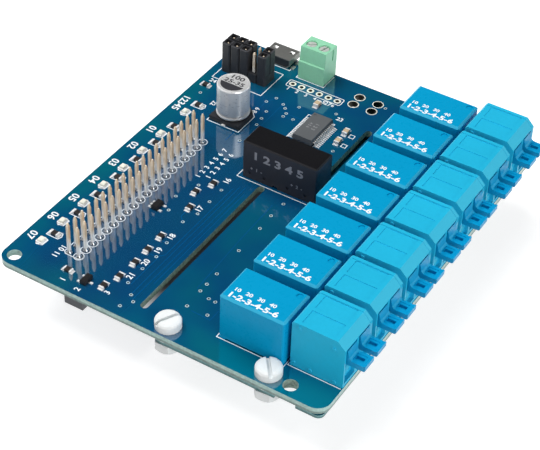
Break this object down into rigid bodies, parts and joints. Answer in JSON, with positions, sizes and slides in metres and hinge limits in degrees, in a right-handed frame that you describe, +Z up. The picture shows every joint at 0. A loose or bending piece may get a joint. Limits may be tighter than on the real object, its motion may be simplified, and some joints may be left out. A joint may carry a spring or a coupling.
{
  "type": "relay module board",
  "caption": "Stackable blue relay board with relays, lever wire terminals, a two-row stacking header, supply terminal and an insulating cover board below.",
  "frame": {"origin": "centre of the four corner holes, on the main board's underside", "axes": "+X from the header side to the wire terminals, +Y towards the edge with the USB socket and the supply terminal, +Z up out of the component side"},
  "size_m": [0.0861, 0.0999, 0.0268],
  "materials": {
    "board_blue": "gloss solder mask",
    "board_teal": "gloss solder mask",
    "nylon_white": "satin",
    "plastic_black": "satin",
    "potting_black": "satin",
    "chip_black": "satin",
    "relay_blue": "semi-gloss",
    "terminal_blue": "semi-gloss",
    "lever_blue": "semi-gloss",
    "terminal_green": "satin",
    "pin_gold": "polished",
    "tinned": "bright",
    "screw_steel": "bright",
    "shell_steel": "satin",
    "can_aluminium": "satin",
    "led_white": "gloss",
    "ceramic_tan": "satin"
  },
  "bodies": {
    "board_assembly": {"main_board": "board_blue", "cover_board": "board_teal", "cover_screws": "nylon_white", "cover_nuts": "nylon_white", "cover_washers": "nylon_white", "header_socket": "plastic_black", "header_pins": "pin_gold", "relay_pins": "tinned", "terminal_pins": "tinned", "converter_case": "potting_black", "converter_pins": "tinned", "capacitor_can": "can_aluminium", "capacitor_base": "plastic_black", "capacitor_leads": "tinned", "jumper_block": "plastic_black", "jumper_pins": "pin_gold", "jumper_caps": "plastic_black", "usb_shell": "shell_steel", "usb_insert": "plastic_black", "supply_housing": "terminal_green", "supply_pins": "tinned", "microcontroller": "chip_black", "microcontroller_leads": "tinned", "leds": "led_white", "resistors": "chip_black", "chip_capacitors": "ceramic_tan", "small_transistors": "chip_black", "relay_1": "relay_blue", "relay_2": "relay_blue", "relay_3": "relay_blue", "relay_4": "relay_blue", "relay_5": "relay_blue", "relay_6": "relay_blue", "relay_7": "relay_blue", "terminal_1": "terminal_blue", "terminal_2": "terminal_blue", "terminal_3": "terminal_blue", "terminal_4": "terminal_blue", "terminal_5": "terminal_blue", "terminal_6": "terminal_blue", "terminal_7": "terminal_blue"},
    "lever_1a_body": {"lever_1a": "lever_blue"},
    "lever_1b_body": {"lever_1b": "lever_blue"},
    "lever_2a_body": {"lever_2a": "lever_blue"},
    "lever_2b_body": {"lever_2b": "lever_blue"},
    "lever_3a_body": {"lever_3a": "lever_blue"},
    "lever_3b_body": {"lever_3b": "lever_blue"},
    "lever_4a_body": {"lever_4a": "lever_blue"},
    "lever_4b_body": {"lever_4b": "lever_blue"},
    "lever_5a_body": {"lever_5a": "lever_blue"},
    "lever_5b_body": {"lever_5b": "lever_blue"},
    "lever_6a_body": {"lever_6a": "lever_blue"},
    "lever_6b_body": {"lever_6b": "lever_blue"},
    "lever_7a_body": {"lever_7a": "lever_blue"},
    "lever_7b_body": {"lever_7b": "lever_blue"},
    "supply_screw_1_body": {"supply_screw_1": "screw_steel"},
    "supply_clamp_1_body": {"supply_clamp_1": "screw_steel"},
    "supply_screw_2_body": {"supply_screw_2": "screw_steel"},
    "supply_clamp_2_body": {"supply_clamp_2": "screw_steel"}
  },
  "joints": [
    {"name": "press_1a", "type": "hinge", "parent": "board_assembly", "child": "lever_1a_body", "pos_m": [0.04147, -0.03935, 0.0099], "axis": [0, 1, 0], "range_deg": [0, 8], "stiffness_Nm_per_rad": 0.02, "springref_deg": -5.73},
    {"name": "press_1b", "type": "hinge", "parent": "board_assembly", "child": "lever_1b_body", "pos_m": [0.04147, -0.03435, 0.0099], "axis": [0, 1, 0], "range_deg": [0, 8], "stiffness_Nm_per_rad": 0.02, "springref_deg": -5.73},
    {"name": "press_2a", "type": "hinge", "parent": "board_assembly", "child": "lever_2a_body", "pos_m": [0.04147, -0.02665, 0.0099], "axis": [0, 1, 0], "range_deg": [0, 8], "stiffness_Nm_per_rad": 0.02, "springref_deg": -5.73},
    {"name": "press_2b", "type": "hinge", "parent": "board_assembly", "child": "lever_2b_body", "pos_m": [0.04147, -0.02165, 0.0099], "axis": [0, 1, 0], "range_deg": [0, 8], "stiffness_Nm_per_rad": 0.02, "springref_deg": -5.73},
    {"name": "press_3a", "type": "hinge", "parent": "board_assembly", "child": "lever_3a_body", "pos_m": [0.04147, -0.01395, 0.0099], "axis": [0, 1, 0], "range_deg": [0, 8], "stiffness_Nm_per_rad": 0.02, "springref_deg": -5.73},
    {"name": "press_3b", "type": "hinge", "parent": "board_assembly", "child": "lever_3b_body", "pos_m": [0.04147, -0.00895, 0.0099], "axis": [0, 1, 0], "range_deg": [0, 8], "stiffness_Nm_per_rad": 0.02, "springref_deg": -5.73},
    {"name": "press_4a", "type": "hinge", "parent": "board_assembly", "child": "lever_4a_body", "pos_m": [0.04147, -0.00125, 0.0099], "axis": [0, 1, 0], "range_deg": [0, 8], "stiffness_Nm_per_rad": 0.02, "springref_deg": -5.73},
    {"name": "press_4b", "type": "hinge", "parent": "board_assembly", "child": "lever_4b_body", "pos_m": [0.04147, 0.00375, 0.0099], "axis": [0, 1, 0], "range_deg": [0, 8], "stiffness_Nm_per_rad": 0.02, "springref_deg": -5.73},
    {"name": "press_5a", "type": "hinge", "parent": "board_assembly", "child": "lever_5a_body", "pos_m": [0.04147, 0.01145, 0.0099], "axis": [0, 1, 0], "range_deg": [0, 8], "stiffness_Nm_per_rad": 0.02, "springref_deg": -5.73},
    {"name": "press_5b", "type": "hinge", "parent": "board_assembly", "child": "lever_5b_body", "pos_m": [0.04147, 0.01645, 0.0099], "axis": [0, 1, 0], "range_deg": [0, 8], "stiffness_Nm_per_rad": 0.02, "springref_deg": -5.73},
    {"name": "press_6a", "type": "hinge", "parent": "board_assembly", "child": "lever_6a_body", "pos_m": [0.04147, 0.02415, 0.0099], "axis": [0, 1, 0], "range_deg": [0, 8], "stiffness_Nm_per_rad": 0.02, "springref_deg": -5.73},
    {"name": "press_6b", "type": "hinge", "parent": "board_assembly", "child": "lever_6b_body", "pos_m": [0.04147, 0.02915, 0.0099], "axis": [0, 1, 0], "range_deg": [0, 8], "stiffness_Nm_per_rad": 0.02, "springref_deg": -5.73},
    {"name": "press_7a", "type": "hinge", "parent": "board_assembly", "child": "lever_7a_body", "pos_m": [0.04147, 0.03685, 0.0099], "axis": [0, 1, 0], "range_deg": [0, 8], "stiffness_Nm_per_rad": 0.02, "springref_deg": -5.73},
    {"name": "press_7b", "type": "hinge", "parent": "board_assembly", "child": "lever_7b_body", "pos_m": [0.04147, 0.04185, 0.0099], "axis": [0, 1, 0], "range_deg": [0, 8], "stiffness_Nm_per_rad": 0.02, "springref_deg": -5.73},
    {"name": "turn_1", "type": "hinge", "parent": "board_assembly", "child": "supply_screw_1_body", "pos_m": [-0.01607, 0.04665, 0.01], "axis": [0, 0, 1], "range_deg": [-1440, 0]},
    {"name": "rise_1", "type": "slide", "parent": "board_assembly", "child": "supply_clamp_1_body", "axis": [0, 0, 1], "range_m": [0, 0.002]},
    {"name": "turn_2", "type": "hinge", "parent": "board_assembly", "child": "supply_screw_2_body", "pos_m": [-0.01257, 0.04665, 0.01], "axis": [0, 0, 1], "range_deg": [-1440, 0]},
    {"name": "rise_2", "type": "slide", "parent": "board_assembly", "child": "supply_clamp_2_body", "axis": [0, 0, 1], "range_m": [0, 0.002]}
  ],
  "couplings": [
    {"joint": "turn_1", "follows": "rise_1", "rad_per_m": -12566},
    {"joint": "turn_2", "follows": "rise_2", "rad_per_m": -12566}
  ]
}
